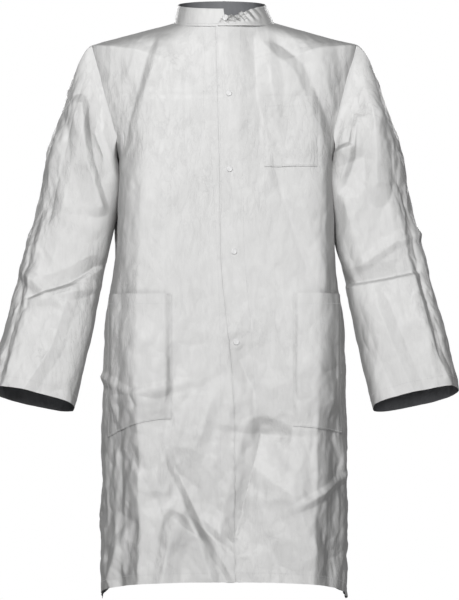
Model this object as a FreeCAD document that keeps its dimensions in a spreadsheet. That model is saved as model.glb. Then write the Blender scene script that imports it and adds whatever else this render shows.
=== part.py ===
"""A thin-cloth lab coat with a stand collar, press snaps, three patch pockets and plain hemmed sleeves.

Millimetres. +Z is up, the front faces -Y, +X is the wearer's left.
The origin is under the coat at hem height.
The body of the coat is a loft of oval sections; every cloth layer lies between two copies of that loft, at
stated distances from it, and is cut to its outline by a window.
"""
import FreeCAD, Part
import math
import os

V = FreeCAD.Vector
X_AXIS = V(1, 0, 0)
Y_AXIS = V(0, 1, 0)
Z_AXIS = V(0, 0, 1)

doc = FreeCAD.newDocument("lab_coat")
sizes = doc.addObject("Spreadsheet::Sheet", "Sizes")

SIZES = {
    # cloth stand-in and the spaces between layers
    "cloth": 1.0,
    "seam_gap": 1.0,
    "layer_gap": 0.4,
    "fold_gap": 3.0,
    # oval sections of the body: height, half width, half depth
    "hem_height": 0.0, "hem_width": 218.0, "hem_depth": 163.0,
    "hip_height": 460.0, "hip_width": 214.0, "hip_depth": 123.0,
    "waist_height": 605.0, "waist_width": 193.0, "waist_depth": 110.3,
    "armpit_height": 785.0, "armpit_width": 176.0, "armpit_depth": 94.5,
    "armhole_height": 845.0, "armhole_width": 234.0, "armhole_depth": 89.3,
    "shoulder_height": 985.0, "shoulder_width": 240.0, "shoulder_depth": 77.0,
    # stand collar, an oval that leans forward
    "neck_height": 1026.0, "neck_width": 87.0, "neck_depth": 68.0, "neck_tilt": 9.0,
    "collar_height": 1058.0, "collar_width": 77.0, "collar_depth": 67.0, "collar_tilt": 12.5,
    "neck_centre": -8.0, "collar_centre": -6.0, "neck_cutter_half": 53.0,
    # the front hem is cut higher than the back hem
    "hem_rise": 16.0,
    # front outlines: half distance from the centre plane at the hem and at the top
    "left_fold_hem": 97.0, "left_fold_top": 52.0,
    "right_fold_hem": -60.0, "right_fold_top": -38.0,
    "left_edge_hem": 20.0, "left_edge_top": -14.0,
    "right_edge_hem": 36.0, "right_edge_top": 5.0,
    "facing": 42.0,
    "top_height": 1090.0,
    # distances of the layers from the body surface, outwards positive
    "left_lift": 4.6,
    # armhole plane
    "armhole_tip_x": 232.0, "armhole_tip_z": 985.0, "armhole_low_x": 177.0, "armhole_low_z": 783.0,
    "sleeve_gap": 3.0,
    # sleeve sections: centre, half width, half depth
    "bicep_x": 257.0, "bicep_z": 717.0, "bicep_half": 70.0,
    "crown_x": 238.0, "crown_z": 813.0, "crown_half": 72.0, "crown_tilt": 44.0,
    "armhole_half": 104.0, "armhole_sleeve_depth": 63.0,
    "elbow_x": 284.0, "elbow_y": -8.0, "elbow_z": 600.0, "elbow_half": 72.5,
    "cuff_x": 334.0, "cuff_y": -75.0, "cuff_z": 361.0, "cuff_half": 75.0,
    "sleeve_depth": 64.0, "cuff_depth": 54.0,
    "sleeve_tilt": 12.4, "sleeve_swing": 16.5,
    "elbow_bend": 60.0, "elbow_spare": 2.0, "elbow_pivot_y": -36.0, "sleeve_cutter": 240.0,
    # a length beyond the coat, for blocks that cut right through it
    "reach": 600.0,
    # pockets
    "pocket_gap": 0.5,
    "chest_pocket_in": 72.0, "chest_pocket_out": 165.0,
    "chest_pocket_low": 765.0, "chest_pocket_top": 890.0,
    "hip_pocket_in": 100.0, "hip_pocket_out": 206.0,
    "hip_pocket_low": 318.0, "hip_pocket_top": 544.0,
    # snaps
    "snap_count": 5, "snap_low_x": 22.0, "snap_low_z": 461.0, "snap_top_x": 2.0, "snap_top_z": 1032.0,
    "snap_radius": 5.0, "cap_rise": 1.6, "cap_bevel": 1.0, "shank_radius": 1.2,
    "snap_head": 2.0, "snap_clearance": 0.4, "stud_height": 3.0, "socket_gap": 0.5,
    "snap_press": 0.1, "snap_flange": 0.8, "snap_tip": 0.4,
    # hanger loop and label at the back of the neck
    "loop_width": 26.0, "loop_height": 36.0, "loop_strip": 6.0, "loop_gap": 7.0, "loop_rise": 14.0,
    "label_width": 45.0, "label_height": 30.0, "label_thickness": 0.6, "label_inset": 10.0,
}
for row, (alias, value) in enumerate(SIZES.items(), start=1):
    sizes.set("A%d" % row, alias)
    sizes.set("B%d" % row, str(value))
    sizes.setAlias("B%d" % row, alias)
doc.recompute()


def size(alias):
    """The number in the sheet under this alias."""
    return float(sizes.get(alias))


def bind(obj, **formulas):
    """Ties properties to the sheet; a double underscore stands for a dot in the property's name."""
    for name, formula in formulas.items():
        obj.setExpression(name.replace("__", "."), formula)
    return obj


def sheet(text):
    """Writes a formula over sheet aliases marked with a leading dollar sign."""
    return text.replace("$", "Sizes.")


# ---------------------------------------------------------------- surfaces of the body

BODY_STATIONS = ("hem", "hip", "waist", "armpit", "armhole", "shoulder")


def oval(name, half_width, half_depth, x="0", y="0", z="0", tilt=None, tilt_axis=X_AXIS):
    """An upright-facing ellipse whose size and place are formulas."""
    section = doc.addObject("Part::Ellipse", name)
    bind(section, MajorRadius=sheet(half_width), MinorRadius=sheet(half_depth))
    bind(section, Placement__Base__x=sheet(x), Placement__Base__y=sheet(y), Placement__Base__z=sheet(z))
    if tilt:
        section.Placement.Rotation = FreeCAD.Rotation(tilt_axis, 1)
        bind(section, Placement__Rotation__Angle=sheet(tilt))
    return section


def loft(name, sections):
    """A closed solid through the sections, straight from each to the next."""
    solid = doc.addObject("Part::Loft", name)
    solid.Sections = sections
    solid.Solid = True
    solid.Ruled = True
    return solid


def body_loft(name, lift):
    """The body's solid, grown outwards by the formula lift."""
    sections = []
    for station in BODY_STATIONS:
        sections.append(oval(
            "%s_%s" % (name, station),
            "$%s_width + %s" % (station, lift), "$%s_depth + %s" % (station, lift),
            z="$%s_height" % station + (" + (%s)" % lift if station == "shoulder" else "")))
    sections.append(oval(
        name + "_neck", "$neck_width + $layer_gap", "$neck_depth + $layer_gap", y="$neck_centre",
        z="$neck_height + (%s)" % lift, tilt="$neck_tilt"))
    return loft(name, sections)


def collar_loft(name, lift):
    """The stand collar's solid, grown outwards by the formula lift."""
    low = oval(name + "_low", "$neck_width + %s" % lift, "$neck_depth + %s" % lift,
               y="$neck_centre", z="$neck_height + $cloth", tilt="$neck_tilt")
    top = oval(name + "_top", "$collar_width + %s" % lift, "$collar_depth + %s" % lift,
               y="$collar_centre", z="$collar_height", tilt="$collar_tilt")
    return loft(name, [low, top])


def boolean(kind, name, base, tool):
    """A Cut or a Common of two objects."""
    result = doc.addObject("Part::" + kind, name)
    result.Base = base
    result.Tool = tool
    return result


def cut(name, base, tool):
    return boolean("Cut", name, base, tool)


def common(name, shapes):
    result = doc.addObject("Part::MultiCommon", name)
    result.Shapes = shapes
    return result


def layer(name, make, inner, outer):
    """A cloth layer between two lifted copies of a surface."""
    return cut(name, make(name + "_outside", outer), make(name + "_inside", inner))


def front_window(name, in_hem, in_top, out_hem, out_top, low="0 - $seam_gap", top="$top_height"):
    """A block in front of the body whose side edges run from their hem places to their top places."""
    block = doc.addObject("Part::Wedge", name)
    block.Placement.Rotation = FreeCAD.Rotation(X_AXIS, 90)
    bind(block, Ymin=sheet(low), Ymax=sheet(top))
    bind(block, Xmin=sheet(in_hem), Xmax=sheet(out_hem), X2min=sheet(in_top), X2max=sheet(out_top))
    bind(block, Zmin=sheet("$seam_gap / 2"), Zmax=sheet("$reach"))
    bind(block, Z2min=sheet("$seam_gap / 2"), Z2max=sheet("$reach"))
    return block


def box(name, length, width, height, x, y, z):
    """A plain block by its size and its low corner, all formulas."""
    block = doc.addObject("Part::Box", name)
    bind(block, Length=sheet(length), Width=sheet(width), Height=sheet(height))
    bind(block, Placement__Base__x=sheet(x), Placement__Base__y=sheet(y), Placement__Base__z=sheet(z))
    return block


def placed_block(name, placement, length, width, height):
    """A block whose low corner and direction are worked out in code from the sheet."""
    block = doc.addObject("Part::Box", name)
    bind(block, Length=sheet(length), Width=sheet(width), Height=sheet(height))
    block.Placement = placement
    return block


NODES = []


def node(obj, label):
    """Marks an object as one sub-part and names its file."""
    obj.Label = label
    NODES.append(obj)
    return obj


# ---------------------------------------------------------------- cutting tools shared by the cloth

def armhole_cutter(side, name):
    """Everything beyond the slanted armhole plane on one side (+1 left, -1 right), above the armpit."""
    lean = math.degrees(math.atan2(size("armhole_tip_x") - size("armhole_low_x"),
                                   size("armhole_tip_z") - size("armhole_low_z")))
    turn = FreeCAD.Rotation(Y_AXIS, lean * side)
    low = V(side * size("armhole_low_x"), -size("reach") / 2, size("armhole_low_z"))
    if side < 0:
        low += turn.multVec(V(-size("reach"), 0, 0))
    return placed_block(name, FreeCAD.Placement(low, turn), "$reach", "$reach", "$reach")


def hem_trim():
    """A block under the front hem, tilted so that the hem rises towards the front."""
    turn = FreeCAD.Rotation(X_AXIS, 180 - size("hem_rise"))
    return placed_block("hem_trim", FreeCAD.Placement(V(-size("reach") / 2, 0, 0), turn),
                        "$reach", "$reach", "$reach")


def neck_cutter():
    """An upright oval block through the neck opening."""
    ends = [oval("neck_cutter_" + end, "$neck_width - $cloth", "$neck_depth - $cloth", y="$neck_centre",
                 z="$neck_height %s $neck_cutter_half" % sign) for end, sign in (("low", "-"), ("top", "+"))]
    return loft("neck_cutter", ends)


armhole_left = armhole_cutter(1, "armhole_left")
armhole_right = armhole_cutter(-1, "armhole_right")
front_trim = hem_trim()
tools = doc.addObject("Part::MultiFuse", "body_tools")
tools.Shapes = [armhole_left, armhole_right, front_trim, neck_cutter()]


def outer(text):
    return text + " + $cloth"


body_layer = layer("body_layer", body_loft, "0 - $cloth", "0")
body_shell = cut("body_shell", body_layer, tools)
left_layer = layer("left_layer", body_loft, outer("$left_lift") + " + $layer_gap",
                   outer("$left_lift") + " + $layer_gap + $cloth")
left_facing_layer = layer("left_facing_layer", body_loft, "$left_lift", outer("$left_lift"))
right_facing_layer = layer("right_facing_layer", body_loft, "0 - 2 * $cloth - $layer_gap",
                           "0 - $cloth - $layer_gap")
pocket_layer = layer("pocket_layer", body_loft, "$pocket_gap", outer("$pocket_gap"))


# ---------------------------------------------------------------- body panels

def back_panel():
    behind = box("behind", "$reach", "$reach", "2 * $reach",
                 "0 - $reach / 2", "$seam_gap / 2", "0 - $seam_gap")
    return common("back_cloth", [body_shell, behind])


def front_side(side, name):
    """The part of a front that stays with the body, from its fold line out to the side seam."""
    if side > 0:
        window = front_window(name + "_window", "$left_fold_hem + $fold_gap / 2",
                              "$left_fold_top + $fold_gap / 2", "$reach / 2", "$reach / 2")
    else:
        window = front_window(name + "_window", "0 - $reach / 2", "0 - $reach / 2",
                              "$right_fold_hem - $fold_gap / 2", "$right_fold_top - $fold_gap / 2")
    return common(name, [body_shell, window])


def left_window(name, depth_hem="$left_fold_hem - $fold_gap / 2",
                depth_top="$left_fold_top - $fold_gap / 2"):
    return front_window(name, "$left_edge_hem", "$left_edge_top", depth_hem, depth_top)


def right_window(name, depth_hem="$right_fold_hem + $fold_gap / 2",
                 depth_top="$right_fold_top + $fold_gap / 2"):
    return front_window(name, depth_hem, depth_top, "$right_edge_hem", "$right_edge_top")


def trimmed(name, cloth, window):
    """A front layer cut to its window, the neck opening and the rising hem."""
    return cut(name, common(name + "_panel", [cloth, window]), tools)


node(back_panel(), "back_panel")
node(front_side(1, "left_side_cloth"), "left_front_side")
node(front_side(-1, "right_side_cloth"), "right_front_side")
node(trimmed("left_flap_cloth", left_layer, left_window("left_flap_window")), "left_front_flap")
node(trimmed("right_flap_cloth", body_layer, right_window("right_flap_window")), "right_front_flap")
node(trimmed("left_facing_cloth", left_facing_layer, left_window(
    "left_facing_window", "$left_edge_hem + $facing", "$left_edge_top + $facing")), "left_facing")
node(trimmed("right_facing_cloth", right_facing_layer, right_window(
    "right_facing_window", "$right_edge_hem - $facing", "$right_edge_top - $facing")), "right_facing")


# ---------------------------------------------------------------- collar

def collar_parts():
    """The collar strip, cut where it bends when the fronts open."""
    base = layer("collar_layer", collar_loft, "0 - $cloth", "0")
    lifted = layer("collar_left_layer", collar_loft, outer("$left_lift") + " + $layer_gap",
                   outer("$left_lift") + " + $layer_gap + $cloth")
    gap = front_window("collar_front_gap",
                       "$right_fold_hem - $fold_gap / 2", "$right_fold_top - $fold_gap / 2",
                       "$left_fold_hem + $fold_gap / 2", "$left_fold_top + $fold_gap / 2")
    node(cut("collar_back_cloth", base, gap), "collar_back")
    node(common("collar_right_cloth", [base, right_window("collar_right_window")]), "collar_right_front")
    node(common("collar_left_cloth", [lifted, left_window("collar_left_window")]), "collar_left_front")


collar_parts()


# ---------------------------------------------------------------- sleeves

def sleeve_section(side, name, x, y, z, half, depth, lean, swing, inset):
    """One oval of a sleeve: lean turns it about Y, swing turns it about X."""
    section = doc.addObject("Part::Ellipse", name)
    bind(section, MajorRadius=sheet("%s - %s" % (half, inset)), MinorRadius=sheet("%s - %s" % (depth, inset)))
    turn = FreeCAD.Rotation(Y_AXIS, -lean * side).multiply(FreeCAD.Rotation(X_AXIS, -swing))
    section.Placement = FreeCAD.Placement(V(0, 0, 0), turn)
    bind(section, Placement__Base__x=sheet("%d * (%s)" % (side, x)), Placement__Base__y=sheet(y),
         Placement__Base__z=sheet(z))
    return section


def sleeve_loft(side, name, inset):
    """The sleeve's solid from the armhole plane to the cuff."""
    lean = math.degrees(math.atan2(size("armhole_tip_z") - size("armhole_low_z"),
                                   size("armhole_tip_x") - size("armhole_low_x")))
    stations = [
        ("armhole", "($armhole_tip_x + $armhole_low_x) / 2 + $sleeve_gap", "0",
         "($armhole_tip_z + $armhole_low_z) / 2", "$armhole_half", "$armhole_sleeve_depth", lean, 0),
        ("crown", "$crown_x", "0", "$crown_z", "$crown_half", "$sleeve_depth", size("crown_tilt"), 0),
        ("bicep", "$bicep_x", "0", "$bicep_z", "$bicep_half", "$sleeve_depth", size("sleeve_tilt"), 0),
        ("elbow", "$elbow_x", "$elbow_y", "$elbow_z", "$elbow_half", "$sleeve_depth", size("sleeve_tilt"),
         size("sleeve_swing") / 2),
        ("cuff", "$cuff_x", "$cuff_y", "$cuff_z", "$cuff_half", "$cuff_depth", size("sleeve_tilt"),
         size("sleeve_swing")),
    ]
    sections = [sleeve_section(side, name + "_" + station, *rest, inset=inset)
                for station, *rest in stations]
    cap = loft(name + "_cap", [sections[1], sections[0]])
    tube = loft(name + "_tube", sections[:0:-1])
    whole = doc.addObject("Part::MultiFuse", name)
    whole.Shapes = [cap, tube]
    return whole


def elbow_cutter(side, name):
    """A wedge that opens at the front of the elbow for its bend, and a slit behind the pivot."""
    half = size("sleeve_cutter") / 2
    pivot = V(side * size("elbow_x"), size("elbow_pivot_y"), size("elbow_z"))
    across = FreeCAD.Rotation(Y_AXIS, -side * size("sleeve_tilt"))
    opening = size("elbow_bend") + size("elbow_spare")
    # the cylinder's own axis goes along the elbow axis, and its first side below the front
    aim = FreeCAD.Rotation(X_AXIS, 180 - opening / 2)
    frame = across.multiply(aim).multiply(FreeCAD.Rotation(Y_AXIS, Z_AXIS, X_AXIS, "ZXY"))
    wedge = doc.addObject("Part::Cylinder", name + "_wedge")
    bind(wedge, Radius=sheet("$sleeve_cutter / 2"), Height=sheet("$sleeve_cutter"))
    bind(wedge, Angle=sheet("$elbow_bend + $elbow_spare"))
    wedge.Placement = FreeCAD.Placement(pivot - frame.multVec(V(0, 0, half)), frame)
    corner = across.multVec(V(-half, 0, -size("fold_gap") / 2))
    slit = placed_block(name + "_slit", FreeCAD.Placement(pivot + corner, across),
                        "$sleeve_cutter", "$sleeve_cutter", "$fold_gap")
    return [wedge, slit]


def sleeve(side, label):
    """A sleeve as two tubes, above and below the elbow."""
    tube = cut(label + "_tube", sleeve_loft(side, label + "_outside", "0"),
               sleeve_loft(side, label + "_inside", "$cloth"))
    gap = doc.addObject("Part::MultiFuse", label + "_elbow")
    gap.Shapes = elbow_cutter(side, label + "_elbow")
    opened = cut(label + "_opened", tube, gap)
    lean = FreeCAD.Rotation(Y_AXIS, -side * size("sleeve_tilt"))
    elbow = V(side * size("elbow_x"), 0, size("elbow_z"))
    reach = size("reach")
    for half, drop in (("upper", 0), ("lower", -reach)):
        corner = elbow + lean.multVec(V(-reach / 2, -reach / 2, drop))
        part_of_arm = placed_block("%s_%s_block" % (label, half), FreeCAD.Placement(corner, lean),
                                   "$reach", "$reach", "$reach")
        node(common("%s_%s_cloth" % (label, half), [opened, part_of_arm]), "%s_%s" % (label, half))


sleeve(1, "left_sleeve")
sleeve(-1, "right_sleeve")


# ---------------------------------------------------------------- pockets

def pocket(side, label, inner, outside, low, top):
    """A patch pocket's cloth, lying just outside a front."""
    edges = ["%d * $%s" % (side, alias) for alias in (inner, outside)]
    left, right = edges[::side]
    window = front_window(label + "_window", left, left, right, right, "$" + low, "$" + top)
    node(common(label + "_cloth", [pocket_layer, window]), label)


pocket(1, "chest_pocket", "chest_pocket_in", "chest_pocket_out", "chest_pocket_low", "chest_pocket_top")
pocket(1, "left_pocket", "hip_pocket_in", "hip_pocket_out", "hip_pocket_low", "hip_pocket_top")
pocket(-1, "right_pocket", "hip_pocket_in", "hip_pocket_out", "hip_pocket_low", "hip_pocket_top")


# ---------------------------------------------------------------- snaps

def snap_frame():
    """The frame of the snap line: local Y points in through the cloth, local Z runs up the front edge."""
    narrowing = size("hip_depth") - size("shoulder_depth")
    depth_slope = narrowing / (size("shoulder_height") - size("hip_height"))
    low_depth = size("hip_depth") - depth_slope * (size("snap_low_z") - size("hip_height"))
    low = V(size("snap_low_x"), -low_depth, size("snap_low_z"))
    rise = size("snap_top_z") - size("snap_low_z")
    up = V(size("snap_top_x") - size("snap_low_x"), depth_slope * rise, rise).normalize()
    inwards = V(0.0, up.z, -up.y).normalize()
    turn = FreeCAD.Rotation(V(), inwards, up, "ZYX")
    return FreeCAD.Placement(low, turn)


def origin_feature(body, role):
    return [item for item in body.Origin.OriginFeatures if item.Role == role][0]


def snap_row(label, outline):
    """Five equal turned parts: outline is a closed half profile of (radius, depth) points."""
    body = doc.addObject("PartDesign::Body", label + "_body")
    body.AllowCompound = True
    sketch = body.newObject("Sketcher::SketchObject", label + "_profile")
    sketch.AttachmentSupport = [(origin_feature(body, "XY_Plane"), "")]
    sketch.MapMode = "FlatFace"
    for start, end in zip(outline, outline[1:] + outline[:1]):
        sketch.addGeometry(Part.LineSegment(V(*start, 0), V(*end, 0)), False)
    turned = body.newObject("PartDesign::Revolution", label + "_turned")
    turned.Profile = sketch
    turned.ReferenceAxis = (sketch, ["V_Axis"])
    turned.Angle = 360
    doc.recompute()
    row = body.newObject("PartDesign::LinearPattern", label + "_row")
    row.Originals = [turned]
    row.Direction = (origin_feature(body, "Z_Axis"), [""])
    bind(row, Occurrences=sheet("$snap_count"))
    across, rise = size("snap_top_x") - size("snap_low_x"), size("snap_top_z") - size("snap_low_z")
    row.Length = V(across, 0, rise).Length
    body.Tip = row
    body.Placement = snap_frame()
    node(body, label)


def snaps():
    """Cap and socket on the left front, stud and post on the right front."""
    cloth, gap, lift = size("cloth"), size("layer_gap"), size("left_lift")
    radius, shank, head = size("snap_radius"), size("shank_radius"), size("snap_head")
    room, bevel, stud = size("snap_clearance"), size("cap_bevel"), size("stud_height")
    press, flange, tip = size("snap_press"), size("snap_flange"), size("snap_tip")
    left_outside = lift + 2 * cloth + gap
    cap_top = left_outside + size("cap_rise")
    mouth = press + flange + size("socket_gap")
    inside = 2 * cloth + gap + press
    snap_row("snap_caps", [(0, tip - lift), (shank, tip - lift), (shank, -left_outside - press),
                           (radius, -left_outside - press), (radius, bevel - cap_top),
                           (radius - bevel, -cap_top), (0, -cap_top)])
    snap_row("snap_sockets", [(head + room, -mouth), (radius, -mouth), (radius, press - lift),
                              (shank + press, press - lift), (shank + press, press + tip - lift),
                              (head + room, press + tip - lift)])
    snap_row("snap_studs", [(shank, -press), (radius, -press), (radius, -press - flange),
                            (head, -press - flange), (head, -stud), (head - tip, -stud - tip),
                            (shank, -stud - tip)])
    snap_row("snap_posts", [(0, -stud), (shank - press / 2, -stud), (shank - press / 2, inside),
                            (radius, inside), (radius, inside + flange), (0, inside + flange)])


snaps()


# ---------------------------------------------------------------- neck fittings

def hanger_loop():
    """A narrow band bent to a loop behind the collar, both ends at the neck seam."""
    back = "$neck_depth + $neck_centre + $loop_gap"
    low = "$neck_height + $loop_rise"
    block = box("loop_block", "$loop_width", "$cloth", "$loop_height", "0 - $loop_width / 2", back, low)
    hole = box("loop_hole", "$loop_width - 2 * $loop_strip", "$cloth * 3", "$loop_height - 2 * $loop_strip",
               "$loop_strip - $loop_width / 2", back + " - $cloth", low + " + $loop_strip")
    node(cut("loop_band", block, hole), "hanger_loop")


def neck_label():
    """A blank cloth label inside the back of the neck."""
    node(box("label_block", "$label_width", "$label_thickness", "$label_height", "0 - $label_width / 2",
             "$neck_depth + $neck_centre - $label_inset", "$neck_height - $label_height"), "neck_label")


hanger_loop()
neck_label()


# ---------------------------------------------------------------- check and write

doc.recompute()
for item in doc.Objects:
    bad = [state for state in item.State if state in ("Invalid", "Error")]
    if bad:
        raise RuntimeError("%s: %s" % (item.Label, bad))
os.makedirs("parts", exist_ok=True)
for item in NODES:
    shape = item.Shape
    if shape.isNull() or not shape.isValid() or not shape.Solids:
        raise RuntimeError(item.Label + " has no valid solid")
    print("%-20s %2d solid %9.0f mm3  %s" % (item.Label, len(shape.Solids), shape.Volume, shape.BoundBox))
    shape.exportStep("parts/%s.step" % item.Label)
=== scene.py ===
"""The looks of the lab coat: thin crumpled nonwoven cloth, press snaps, stitched hems and patch pockets.

Metres. +Z is up, the front faces -Y, +X is the wearer's left. Each cloth piece is a fine sheet laid on the
coat's oval sections, folded and crumpled by functions of place, and given a thickness and its own stitches.
"""
import math

import bpy
import numpy as np
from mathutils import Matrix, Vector


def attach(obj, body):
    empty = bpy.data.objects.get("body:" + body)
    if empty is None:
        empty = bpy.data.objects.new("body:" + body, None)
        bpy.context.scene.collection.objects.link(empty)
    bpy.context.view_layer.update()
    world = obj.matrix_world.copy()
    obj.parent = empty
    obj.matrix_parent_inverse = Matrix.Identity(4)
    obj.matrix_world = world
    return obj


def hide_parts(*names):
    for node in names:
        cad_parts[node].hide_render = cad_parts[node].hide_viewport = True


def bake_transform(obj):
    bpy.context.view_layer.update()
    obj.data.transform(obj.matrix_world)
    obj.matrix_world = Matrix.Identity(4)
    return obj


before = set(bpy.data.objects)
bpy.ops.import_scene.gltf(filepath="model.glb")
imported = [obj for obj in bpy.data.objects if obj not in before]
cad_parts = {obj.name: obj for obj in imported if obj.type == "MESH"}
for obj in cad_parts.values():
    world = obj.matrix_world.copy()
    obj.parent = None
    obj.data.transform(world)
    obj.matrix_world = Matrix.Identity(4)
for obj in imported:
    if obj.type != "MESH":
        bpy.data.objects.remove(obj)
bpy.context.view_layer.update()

SPACING = 0.0031   # distance between neighbouring points of a sheet
THICK = 0.0005                               # cloth thickness that the sheets show
HEM_FOLD = 0.017                             # width of the turned hems
STITCH = 0.0034                              # pitch of the sewing stitches
STITCH_SHARE = 0.72                          # share of the pitch that its thread shows
THREAD_RADIUS = 0.00034
SHARP = math.radians(65)                     # edges bent more than this are shaded as sharp
SNAPS = [(0.0215, 0.461), (0.0175, 0.618), (0.0105, 0.762), (0.0085, 0.894)]   # places on the front (x, z)

# ---------- the coat's sections

# level along the body: half width, half depth, squareness (2 is an ellipse)
BODY = {
    0.000: (0.218, 0.157, 2.9),
    0.230: (0.217, 0.138, 2.9),
    0.460: (0.214, 0.119, 3.2),
    0.605: (0.193, 0.108, 3.6),
    0.700: (0.188, 0.101, 3.6),
    0.780: (0.1855, 0.0955, 3.2),
    0.800: (0.191, 0.094, 3.0),
    0.850: (0.212, 0.090, 2.5),
    0.900: (0.230, 0.086, 2.2),
    0.985: (0.240, 0.077, 2.0),
}
SHOULDER = 0.985
SHOULDER_DIP = 0.100   # how much lower the shoulder's turn towards the neck starts at the front and back
YOKE = 0.110           # stretch of level between the shoulder and the neck seam
# ovals of the neck seam and of the collar's top: half width, half depth, centre y, height, tilt in degrees
NECK = (0.088, 0.069, -0.008, 1.026, 9.0)
COLLAR_TOP = (0.077, 0.069, -0.005, 1.0585, 12.5)
ARMHOLE_LOW = (0.1785, 0.783)    # lower end of the armhole's line: x on the wearer's left, level
ARMHOLE_TIP = (0.2335, 0.985)    # its upper end, at the shoulder's tip
ARMPIT_ROUND = 0.040    # height over which the armhole rounds into the side
TOP = SHOULDER + YOKE
OUTSIDE = 1.0           # an x beyond the whole coat


def smoothstep(low, high, x):
    """0 at low and 1 at high, with a soft start and end; low may be the larger one."""
    share = np.clip((x - low) / (high - low), 0, 1)
    return share * share * (3 - 2 * share)


def monotone(table, column):
    """A smooth curve through one column of a table of levels, with no overshoot."""
    x = np.array(sorted(table))
    y = np.array([table[level][column] for level in sorted(table)])
    step = np.diff(y) / np.diff(x)
    slope = np.zeros(len(x))
    inner = step[:-1] * step[1:] > 0
    slope[1:-1][inner] = 2 * step[:-1][inner] * step[1:][inner] / (step[:-1] + step[1:])[inner]
    slope[0], slope[-1] = step[0], step[-1]

    def curve(at):
        at = np.clip(at, x[0], x[-1])
        i = np.clip(np.searchsorted(x, at) - 1, 0, len(x) - 2)
        width = x[i + 1] - x[i]
        u = (at - x[i]) / width
        return (y[i] * (1 + 2 * u) * (1 - u) ** 2 + y[i + 1] * u * u * (3 - 2 * u)
                + width * (slope[i] * u * (1 - u) ** 2 - slope[i + 1] * u * u * (1 - u)))
    return curve


BODY_WIDTH, BODY_DEPTH, BODY_SQUARE = (monotone(BODY, column) for column in range(3))


def oval(angle, width, depth, square):
    """Points of a squared oval by the angle from the front centre; +90 degrees is +X."""
    c, s = np.cos(angle), np.sin(angle)
    r = (np.abs(c / depth) ** square + np.abs(s / width) ** square) ** (-1 / square)
    return r * s, -r * c


def tilted_ring(angle, ring, square):
    """Coordinates of a squared oval given like NECK, tilted with its front down."""
    width, depth, centre, height, tilt = ring
    x, y = oval(angle, width, depth, square)
    return x, centre + y * math.cos(math.radians(tilt)), height + y * math.sin(math.radians(tilt))


def body_rings(levels, angles):
    """Points of the body's surface, one row for each level, one column for each angle."""
    level = np.asarray(levels)[:, None]
    angle = np.asarray(angles)[None, :]
    turn = SHOULDER - SHOULDER_DIP * np.cos(angle) ** 2
    z = np.minimum(level, turn)
    x, y = oval(angle, BODY_WIDTH(z), BODY_DEPTH(z), BODY_SQUARE(z))
    nx, ny, nz = tilted_ring(angle, NECK, 2.0)
    share = np.clip((level - turn) / (TOP - turn), 0, 1)
    return np.stack([x + (nx - x) * share, y + (ny - y) * share, z + (nz - z) * share], -1)


def armhole_x(level):
    """Where the armhole cuts a level: a slanted line, rounded into the side at the armpit.

    Below the armhole it is far outside the body, so that a sheet reaches to the side seam.
    """
    share = (level - ARMHOLE_LOW[1]) / (ARMHOLE_TIP[1] - ARMHOLE_LOW[1])
    line = ARMHOLE_LOW[0] + (ARMHOLE_TIP[0] - ARMHOLE_LOW[0]) * np.clip(share, 0, 1)
    width = BODY_WIDTH(level)
    round_in = smoothstep(0, ARMPIT_ROUND, level - ARMHOLE_LOW[1]) ** 2
    return np.where(level < ARMHOLE_LOW[1], OUTSIDE, width - (width - line) * round_in)


RING_ANGLES = np.radians(np.linspace(-180, 180, 1441))
LEVELS = np.linspace(0.0, TOP, int(TOP / SPACING) + 2)


def arc_at_x(ring, arc, x, side):
    """Arc position, in one ring, where its front half reaches x on one side of the coat."""
    middle = len(ring) // 2
    quarter = middle // 2
    part = slice(middle, middle + quarter + 1) if side > 0 else slice(middle, middle - quarter - 1, -1)
    return np.interp(side * x, side * ring[part, 0], arc[part])


def arc_lengths(rings):
    """Distance of each point along its ring from the ring's first point."""
    steps = np.linalg.norm(np.diff(rings, axis=1), axis=2)
    return np.concatenate([np.zeros((len(rings), 1)), np.cumsum(steps, 1)], 1)


def points_on_rings(rings, arcs, at):
    """One row of points on each ring, at the arc positions of that row."""
    rows = [[np.interp(at[i], arcs[i], rings[i, :, axis]) for axis in range(3)] for i in range(len(rings))]
    return np.ascontiguousarray(np.moveaxis(rows, 1, 2))


def front_grid(edge, side):
    """One front as a sheet from its edge's x at each level out to the armhole and side seam.

    Columns follow the side, where the ring turns to the back, and only drift near the armhole.
    """
    rings = body_rings(LEVELS, RING_ANGLES)
    arcs = arc_lengths(rings)
    first, last, whole = [], [], []
    for ring, arc, level in zip(rings, arcs, LEVELS):
        x = edge(level)
        first.append(arc_at_x(ring, arc, x, 1 if x > 0 else -1))
        last.append(arc_at_x(ring, arc, side * float(armhole_x(level)), side))
        whole.append(arc_at_x(ring, arc, side * OUTSIDE, side))
    first, last, whole = (np.array(outline)[:, None] for outline in (first, last, whole))
    columns = int(np.abs(last - first).max() / SPACING) + 2
    share = np.linspace(0, 1, columns)[None, :]
    at = first + share * (whole - first) + share ** 3 * (last - whole)
    return points_on_rings(rings, arcs, at)


def back_grid():
    """The back as one sheet from the left armhole and side seam round to the right ones."""
    rings = body_rings(LEVELS, RING_ANGLES + math.pi)
    arcs = arc_lengths(rings)
    middle = rings.shape[1] // 2
    quarter = middle // 2
    left = slice(middle, middle - quarter - 1, -1)
    columns = int((arcs[:, middle + quarter] - arcs[:, middle - quarter]).max() / SPACING) + 2
    share = np.linspace(-1, 1, columns)
    at = []
    for ring, arc, level in zip(rings, arcs, LEVELS):
        whole = arc[middle] - arc[middle - quarter]
        half = arc[middle] - np.interp(float(armhole_x(level)), ring[left, 0], arc[left])
        at.append(arc[middle] + share * whole + share ** 3 * (half - whole))
    return points_on_rings(rings, arcs, at)


# ---------- folds and crumples

def stir(cell, seed):
    """One whole number for each lattice cell and seed."""
    return cell[..., 0] * 73856093 ^ cell[..., 1] * 19349663 ^ cell[..., 2] * 83492791 ^ seed * 2654435


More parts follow.
